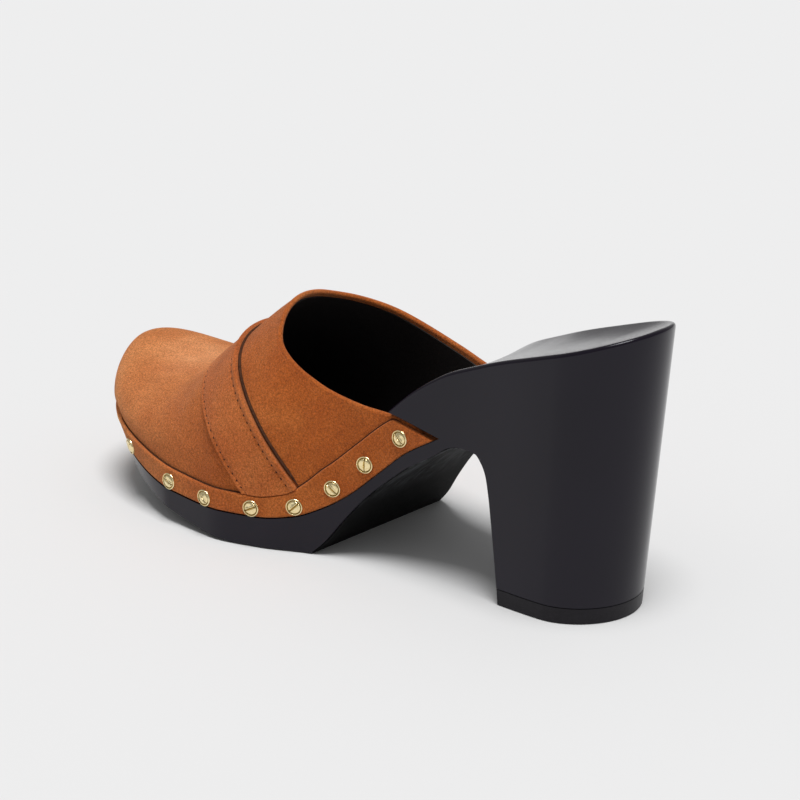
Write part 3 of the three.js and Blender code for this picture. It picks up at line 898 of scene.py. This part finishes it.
def head_mesh(name, rng):
    """A nail head with a rim, a groove and a low hammered dome with a slot along its own X."""
    points = []
    dents = [
        (rng.uniform(*DENT_REACH), rng.uniform(*DENT_REACH), rng.uniform(*DENT_DEPTHS))
        for _ in range(DENTS)
    ]
    for share, height in HEAD_PROFILE:
        for k in range(HEAD_SIDES):
            a = 2 * math.pi * k / HEAD_SIDES
            x, y = share * math.cos(a), share * math.sin(a)
            fall = 0
            if share < DOME_SHARE:
                for u, v, deep in dents:
                    fall += deep * math.exp(-((x - u) ** 2 + (y - v) ** 2) / DENT_WIDTH)
                fall += SLOT_DEPTH * math.exp(-(y / SLOT_HALF) ** 4)
                fall -= LIP_HEIGHT * math.exp(-((abs(y) - 2 * SLOT_HALF) / SLOT_HALF) ** 2)
            points.append((HEAD_RADIUS * x, HEAD_RADIUS * y, height - fall))
    rows = len(HEAD_PROFILE)
    faces = grid_faces(rows, HEAD_SIDES, closed_columns=True)
    faces.append(tuple((rows - 1) * HEAD_SIDES + k for k in range(HEAD_SIDES)))
    faces.append(tuple(range(HEAD_SIDES)))
    mesh = bpy.data.meshes.new(name)
    mesh.from_pydata([tuple(MM * c for c in p) for p in points], [], faces)
    shaped = bmesh.new()
    shaped.from_mesh(mesh)
    bmesh.ops.recalc_face_normals(shaped, faces=shaped.faces)
    shaped.to_mesh(mesh)
    shaped.free()
    mesh.shade_smooth()
    return mesh


rng = np.random.default_rng(7)
stud_nodes = sorted(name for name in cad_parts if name.startswith("stud_"))
heads = []
for number, (point, facing, along) in enumerate(stud_frames(), 1):
    head = bpy.data.objects.new(f"nail_head_{number:02d}", head_mesh(f"nail_head_{number:02d}", rng))
    up = np.cross(facing, along)
    turn = Matrix([[along[i], up[i], facing[i], 0] for i in range(3)] + [[0, 0, 0, 1]])
    turn = turn @ Matrix.Rotation(rng.uniform(0, math.pi), 4, "Z")
    head.matrix_world = Matrix.Translation(Vector(place(point)[0])) @ turn
    bpy.context.scene.collection.objects.link(head)
    heads.append(head)


# Materials

def material(name):
    made = bpy.data.materials.new(name)
    made.use_nodes = True
    shader = made.node_tree.nodes["Principled BSDF"]
    return made, made.node_tree, shader


def noise(tree, scale, detail=3.0, roughness=0.55, distortion=0.0):
    made = tree.nodes.new("ShaderNodeTexNoise")
    made.inputs["Scale"].default_value = scale
    made.inputs["Detail"].default_value = detail
    made.inputs["Roughness"].default_value = roughness
    made.inputs["Distortion"].default_value = distortion
    where = tree.nodes.new("ShaderNodeTexCoord")
    tree.links.new(where.outputs["Object"], made.inputs["Vector"])
    return made


def ramp(tree, source, stops):
    made = tree.nodes.new("ShaderNodeValToRGB")
    elements = made.color_ramp.elements
    while len(elements) < len(stops):
        elements.new(0.5)
    for element, (position, colour) in zip(elements, stops):
        element.position = position
        element.color = (*colour, 1)
    tree.links.new(source, made.inputs["Fac"])
    return made


def mixed(tree, share, first, second, blend="MIX"):
    made = tree.nodes.new("ShaderNodeMix")
    made.data_type = "RGBA"
    made.blend_type = blend
    if isinstance(share, float):
        made.inputs[0].default_value = share
    else:
        tree.links.new(share, made.inputs[0])
    for value, slot in ((first, 6), (second, 7)):
        if isinstance(value, tuple):
            made.inputs[slot].default_value = (*value, 1)
        else:
            tree.links.new(value, made.inputs[slot])
    return made.outputs[2]


def bump(tree, shader, layers, strength=1.0):
    """Layers of height, each (source, distance in metres), one on top of the other."""
    last = None
    for source, distance in layers:
        made = tree.nodes.new("ShaderNodeBump")
        made.inputs["Strength"].default_value = strength
        made.inputs["Distance"].default_value = distance
        tree.links.new(source, made.inputs["Height"])
        if last is not None:
            tree.links.new(last, made.inputs["Normal"])
        last = made.outputs["Normal"]
    tree.links.new(last, shader.inputs["Normal"])


def along_shoe(tree, from_x, to_x, stops):
    """A colour that changes from one place along the shoe to another, both in metres of the frame."""
    where = tree.nodes.new("ShaderNodeTexCoord")
    split = tree.nodes.new("ShaderNodeSeparateXYZ")
    tree.links.new(where.outputs["Object"], split.inputs["Vector"])
    share = tree.nodes.new("ShaderNodeMapRange")
    share.inputs["From Min"].default_value = from_x
    share.inputs["From Max"].default_value = to_x
    tree.links.new(split.outputs["X"], share.inputs["Value"])
    return ramp(tree, share.outputs["Result"], stops)


# Painted highlight: the suede is drawn paler round this place of the vamp's crest, where the light from
# above falls; the reach is in metres and the factors brighten the colour
VAMP_CREST = (0.083, 0.0, 0.048)
VAMP_HIGHLIGHT_REACH = 0.03
VAMP_HIGHLIGHT_FACTOR = (1.3, 1.6, 2.2)
# Painted light and shade along the shoe: the nap is drawn darker from the heel to the middle of the
# footprint and paler towards the toe, between these places in metres
PAINTED_LIGHT_FROM, PAINTED_LIGHT_TO = 0.0, 0.12


def near_place(tree, centre, reach):
    """A share that is one at a place of the frame and fades to nothing at the reach from it."""
    where = tree.nodes.new("ShaderNodeTexCoord")
    away = tree.nodes.new("ShaderNodeVectorMath")
    away.operation = "DISTANCE"
    away.inputs[1].default_value = centre
    tree.links.new(where.outputs["Object"], away.inputs[0])
    share = tree.nodes.new("ShaderNodeMapRange")
    share.interpolation_type = "SMOOTHSTEP"
    share.inputs["From Min"].default_value = reach
    share.inputs["From Max"].default_value = 0.0
    tree.links.new(away.outputs["Value"], share.inputs["Value"])
    return share.outputs["Result"]


def suede_material(name, dark, middle, light):
    made, tree, shader = material(name)
    broad = noise(tree, 34, 3, 0.6, 0.5)
    patches = noise(tree, 130, 3, 0.6)
    nap = noise(tree, 1600, 4, 0.8)
    fibre = noise(tree, 4200, 2, 0.7)
    tone = ramp(tree, broad.outputs["Fac"], [(0.32, dark), (0.5, middle), (0.68, light)])
    cloud = ramp(tree, patches.outputs["Fac"], [(0.3, (0.92, 0.9, 0.88)), (0.7, (1.06, 1.07, 1.08))])
    grain_stops = [(0.34, (0.56, 0.51, 0.48)), (0.5, (1, 1, 1)), (0.66, (1.42, 1.52, 1.62))]
    grain = ramp(tree, nap.outputs["Fac"], grain_stops)
    colour = mixed(tree, 1.0, tone.outputs["Color"], cloud.outputs["Color"], "MULTIPLY")
    colour = mixed(tree, 1.0, colour, grain.outputs["Color"], "MULTIPLY")
    # Painted light and shade along the shoe, darker at the heel end and paler towards the toe
    painted_light_stops = [(0.0, (0.8, 0.72, 0.6)), (0.4, (0.86, 0.84, 0.84)), (0.7, (1.04, 1.28, 1.75))]
    painted_light_along = along_shoe(tree, PAINTED_LIGHT_FROM, PAINTED_LIGHT_TO, painted_light_stops)
    colour = mixed(tree, 1.0, colour, painted_light_along.outputs["Color"], "MULTIPLY")
    # Painted highlight on the vamp's crest
    pale = near_place(tree, VAMP_CREST, VAMP_HIGHLIGHT_REACH)
    painted_highlight_colour = mixed(tree, 1.0, colour, VAMP_HIGHLIGHT_FACTOR, "MULTIPLY")
    colour = mixed(tree, pale, colour, painted_highlight_colour)
    tree.links.new(colour, shader.inputs["Base Color"])
    shader.inputs["Roughness"].default_value = 0.95
    shader.inputs["Specular IOR Level"].default_value = 0.1
    shader.inputs["Sheen Weight"].default_value = 0.3
    shader.inputs["Sheen Roughness"].default_value = 0.4
    shader.inputs["Sheen Tint"].default_value = (1.0, 0.7, 0.48, 1)
    bump(tree, shader, [(nap.outputs["Fac"], 0.0006), (fibre.outputs["Fac"], 0.0002)])
    return made


def linear(r, g, b):
    """A colour given as it shows on a screen, as light."""
    return tuple(((v / 255 + 0.055) / 1.055) ** 2.4 if v > 10 else v / 255 / 12.92 for v in (r, g, b))


tan_tones = [linear(200, 105, 48), linear(209, 115, 54), linear(219, 127, 64)]
rose_tones = [linear(204, 109, 55), linear(214, 119, 62), linear(224, 132, 72)]
suede = suede_material("tan_suede", *tan_tones)
strap_suede = suede_material("rose_tan_suede", *rose_tones)



def grained(name, grain, stops, roughness, specular=0.5, relief=None):
    """A material with one fine grain, which gives its tone and, with a relief in metres, its bump."""
    made, tree, shader = material(name)
    source = noise(tree, *grain)
    tone = ramp(tree, source.outputs["Fac"], stops)
    tree.links.new(tone.outputs["Color"], shader.inputs["Base Color"])
    shader.inputs["Roughness"].default_value = roughness
    shader.inputs["Specular IOR Level"].default_value = specular
    if relief is not None:
        bump(tree, shader, [(source.outputs["Fac"], relief)])
    return made


crevice_shadow_stops = [(0.3, linear(54, 36, 28)), (0.7, linear(92, 62, 46))]
hide_stops = [(0.35, (0.009, 0.007, 0.006)), (0.7, (0.02, 0.015, 0.013))]
hole_stops = [(0.3, linear(30, 11, 8)), (0.7, linear(46, 18, 12))]
paint_stops = [(0.3, (0.004, 0.003, 0.005)), (0.7, (0.009, 0.007, 0.011))]
# Dark brown painted shadow for the cords in the crevices beside strap and rand
painted_crevice_shadow = grained("painted_crevice_shadow", (1500, 3, 0.7), crevice_shadow_stops, roughness=1.0, specular=0.0)
black_hide = grained("black_lining_leather", (1400, 3, 0.6), hide_stops, roughness=0.6, relief=0.0001)
needle = grained("needle_hole_shade", (3000, 2, 0.5), hole_stops, roughness=1.0)
painted_rubber = grained("painted_rubber", (700, 4, 0.7), paint_stops, 0.38, specular=0.24, relief=0.0001)

lacquer, tree, shader = material("black_lacquer")
cloud = noise(tree, 14, 2, 0.5)
ripple = noise(tree, 60, 2, 0.5)
dust = noise(tree, 900, 4, 0.7)
tone = ramp(tree, cloud.outputs["Fac"], [(0.3, (0.004, 0.002, 0.006)), (0.7, (0.007, 0.004, 0.011))])
tree.links.new(tone.outputs["Color"], shader.inputs["Base Color"])
sheen = ramp(tree, dust.outputs["Fac"], [(0.35, (0.14, 0.14, 0.14)), (0.8, (0.22, 0.22, 0.22))])
tree.links.new(sheen.outputs["Color"], shader.inputs["Roughness"])
shader.inputs["IOR"].default_value = 1.37
shader.inputs["Specular Tint"].default_value = (0.94, 0.95, 1.0, 1)
bump(tree, shader, [(ripple.outputs["Fac"], 0.0003)], 0.2)

# Scuffs run across the shoe and grow with the height, in metres, so the tread itself stays black
STREAK_SCALE = (90, 700, 90)
SCUFFS_FROM, SCUFFS_TO = 0.018, 0.053
rubber, tree, shader = material("scuffed_rubber")
grit = noise(tree, 700, 4, 0.7)
where = tree.nodes.new("ShaderNodeTexCoord")
stretched = tree.nodes.new("ShaderNodeMapping")
stretched.inputs["Scale"].default_value = STREAK_SCALE
tree.links.new(where.outputs["Object"], stretched.inputs["Vector"])
streaks = tree.nodes.new("ShaderNodeTexNoise")
streaks.inputs["Scale"].default_value = 1.0
streaks.inputs["Detail"].default_value = 5.0
tree.links.new(stretched.outputs["Vector"], streaks.inputs["Vector"])
smears = noise(tree, 70, 4, 0.65, 1.2)
base = ramp(tree, grit.outputs["Fac"], [(0.3, (0.0015, 0.0015, 0.002)), (0.7, (0.005, 0.005, 0.005))])
scuff = ramp(tree, streaks.outputs["Fac"], [(0.5, (0, 0, 0)), (0.75, (1, 1, 1))])
smear = ramp(tree, smears.outputs["Fac"], [(0.42, (0, 0, 0)), (0.72, (1, 1, 1))])
split = tree.nodes.new("ShaderNodeSeparateXYZ")
tree.links.new(where.outputs["Object"], split.inputs["Vector"])
height = tree.nodes.new("ShaderNodeMapRange")
height.inputs["From Min"].default_value = SCUFFS_FROM
height.inputs["From Max"].default_value = SCUFFS_TO
tree.links.new(split.outputs["Z"], height.inputs["Value"])
wear = mixed(tree, 1.0, scuff.outputs["Color"], smear.outputs["Color"], "ADD")
wear = mixed(tree, height.outputs["Result"], (0, 0, 0), wear)
colour = mixed(tree, wear, base.outputs["Color"], (0.13, 0.135, 0.145))
tree.links.new(colour, shader.inputs["Base Color"])
shader.inputs["Roughness"].default_value = 0.75
shader.inputs["Specular IOR Level"].default_value = 0.12
bump(tree, shader, [(grit.outputs["Fac"], 0.00015)])

brass, tree, shader = material("polished_brass")
brushed = noise(tree, 1500, 3, 0.6)
tone = ramp(tree, brushed.outputs["Fac"], [(0.3, (0.84, 0.67, 0.34)), (0.7, (1.0, 0.86, 0.52))])
where = tree.nodes.new("ShaderNodeTexCoord")
scaled = tree.nodes.new("ShaderNodeVectorMath")
scaled.operation = "MULTIPLY"
scaled.inputs[1].default_value = (1 / (HEAD_RADIUS * MM), 1 / (HEAD_RADIUS * MM), 0)
tree.links.new(where.outputs["Object"], scaled.inputs[0])
radius = tree.nodes.new("ShaderNodeVectorMath")
radius.operation = "LENGTH"
tree.links.new(scaled.outputs["Vector"], radius.inputs[0])
# Painted shade: the brass is drawn dark in the groove between rim and dome and along the slot, with a
# lighter half shade beside it
pale, painted_half_shade, painted_groove_shade = (1, 1, 1), (0.55, 0.46, 0.26), (0.2, 0.15, 0.06)
groove_stops = [(0.0, pale), (0.7, pale), (0.77, painted_groove_shade), (0.82, painted_half_shade), (0.87, pale)]
groove = ramp(tree, radius.outputs["Value"], groove_stops)
split = tree.nodes.new("ShaderNodeSeparateXYZ")
tree.links.new(scaled.outputs["Vector"], split.inputs["Vector"])
across_slot = tree.nodes.new("ShaderNodeMath")
across_slot.operation = "ABSOLUTE"
tree.links.new(split.outputs["Y"], across_slot.inputs[0])
slot_tone = ramp(tree, across_slot.outputs["Value"], [(0.0, painted_groove_shade), (0.04, painted_half_shade), (0.08, pale)])
in_dome = ramp(tree, radius.outputs["Value"], [(0.7, (1, 1, 1)), (0.76, (0, 0, 0))])
slot_tone = mixed(tree, in_dome.outputs["Color"], pale, slot_tone.outputs["Color"])
colour = mixed(tree, 1.0, tone.outputs["Color"], groove.outputs["Color"], "MULTIPLY")
colour = mixed(tree, 1.0, colour, slot_tone, "MULTIPLY")
tree.links.new(colour, shader.inputs["Base Color"])
shader.inputs["Metallic"].default_value = 1.0
rough = ramp(tree, brushed.outputs["Fac"], [(0.3, (0.14, 0.14, 0.14)), (0.7, (0.26, 0.26, 0.26))])
tree.links.new(rough.outputs["Color"], shader.inputs["Roughness"])
bump(tree, shader, [(brushed.outputs["Fac"], 0.00008)])


def dress(obj, finish, slot, *nodes, sharp=38):
    """Gives a piece its material, its body and the nodes it stands for; slot is not used; sharp is in
    degrees.
    """
    obj.data.materials.clear()
    obj.data.materials.append(finish)
    obj.data.shade_smooth()
    obj.data.set_sharp_from_angle(angle=math.radians(sharp))
    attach(obj, "root")
    if nodes:
        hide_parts(*nodes)


dress(sole, lacquer, "lacquered_wood", "sole")
dress(outsole, rubber, "rubber", "outsole")
dress(heel_tip, painted_rubber, "rubber", "heel_tip")
dress(upper, suede, "suede", "upper")
dress(rand, suede, "suede", "rand", sharp=60)
dress(strap, strap_suede, "suede", "instep_strap", sharp=60)
dress(roll, suede, "suede", sharp=80)
dress(lining, black_hide, "suede")
dress(front_holes, needle, "suede")
dress(rear_holes, needle, "suede")
# Painted shadow cords in the crevices beside strap and rand
for shadow_cord in (rear_crevice_shadow, front_crevice_shadow, rand_crevice_shadow):
    dress(shadow_cord, painted_crevice_shadow, "suede")
for head, name in zip(heads, stud_nodes):
    dress(head, brass, "brass", name, sharp=50)

# Floor, light and camera

FLOOR_HALF = 4
FLOOR_DROP = 0.0002
floor_mesh = bpy.data.meshes.new("studio_floor")
corners = [(-FLOOR_HALF, -FLOOR_HALF, 0), (FLOOR_HALF, -FLOOR_HALF, 0), (FLOOR_HALF, FLOOR_HALF, 0)]
floor_mesh.from_pydata([*corners, (-FLOOR_HALF, FLOOR_HALF, 0)], [], [(0, 1, 2, 3)])
floor = bpy.data.objects.new("studio_floor", floor_mesh)
floor.location.z = -FLOOR_DROP
bpy.context.scene.collection.objects.link(floor)
paper, tree, shader = material("studio_paper")
shader.inputs["Base Color"].default_value = (0.75, 0.75, 0.752, 1)
shader.inputs["Roughness"].default_value = 1.0
shader.inputs["Specular IOR Level"].default_value = 0.0
floor.data.materials.append(paper)

world = bpy.data.worlds.new("studio")
bpy.context.scene.world = world
world.use_nodes = True
world.node_tree.nodes["Background"].inputs["Color"].default_value = (1, 1, 1, 1)
world.node_tree.nodes["Background"].inputs["Strength"].default_value = 0.33


def sun(name, strength, spread, azimuth, elevation):
    """A sun of a width in degrees that shines from one side of the shoe, counted as the camera's is."""
    lamp = bpy.data.lights.new(name, "SUN")
    lamp.energy = strength
    lamp.angle = math.radians(spread)
    made = bpy.data.objects.new(name, lamp)
    a, e = math.radians(azimuth), math.radians(elevation)
    back = Vector((math.sin(a) * math.cos(e), -math.cos(a) * math.cos(e), math.sin(e)))
    made.rotation_euler = back.to_track_quat("Z", "Y").to_euler()
    bpy.context.scene.collection.objects.link(made)


sun("overhead", strength=2.6, spread=26, azimuth=240, elevation=78)

CAMERA_AZIMUTH = 222.5
CAMERA_ELEVATION = 19.5
CAMERA_DISTANCE = 0.84
CAMERA_TARGET = Vector((-0.00357, -0.01037, 0.0485))
# Focal length and side of the picture, both in pixels
FOCAL_PIXELS = 2345
PICTURE_PIXELS = 800
SENSOR_WIDTH = 36
camera_data = bpy.data.cameras.new("camera")
camera_data.sensor_width = SENSOR_WIDTH
camera_data.lens = FOCAL_PIXELS / PICTURE_PIXELS * SENSOR_WIDTH
camera = bpy.data.objects.new("camera", camera_data)
azimuth, elevation = math.radians(CAMERA_AZIMUTH), math.radians(CAMERA_ELEVATION)
back = Vector((
    math.sin(azimuth) * math.cos(elevation),
    -math.cos(azimuth) * math.cos(elevation),
    math.sin(elevation),
))
camera.location = CAMERA_TARGET + back * CAMERA_DISTANCE
camera.rotation_euler = back.to_track_quat("Z", "Y").to_euler()
bpy.context.scene.collection.objects.link(camera)
bpy.context.scene.camera = camera
bpy.context.scene.view_settings.view_transform = "Standard"
bpy.context.scene.view_settings.look = "None"
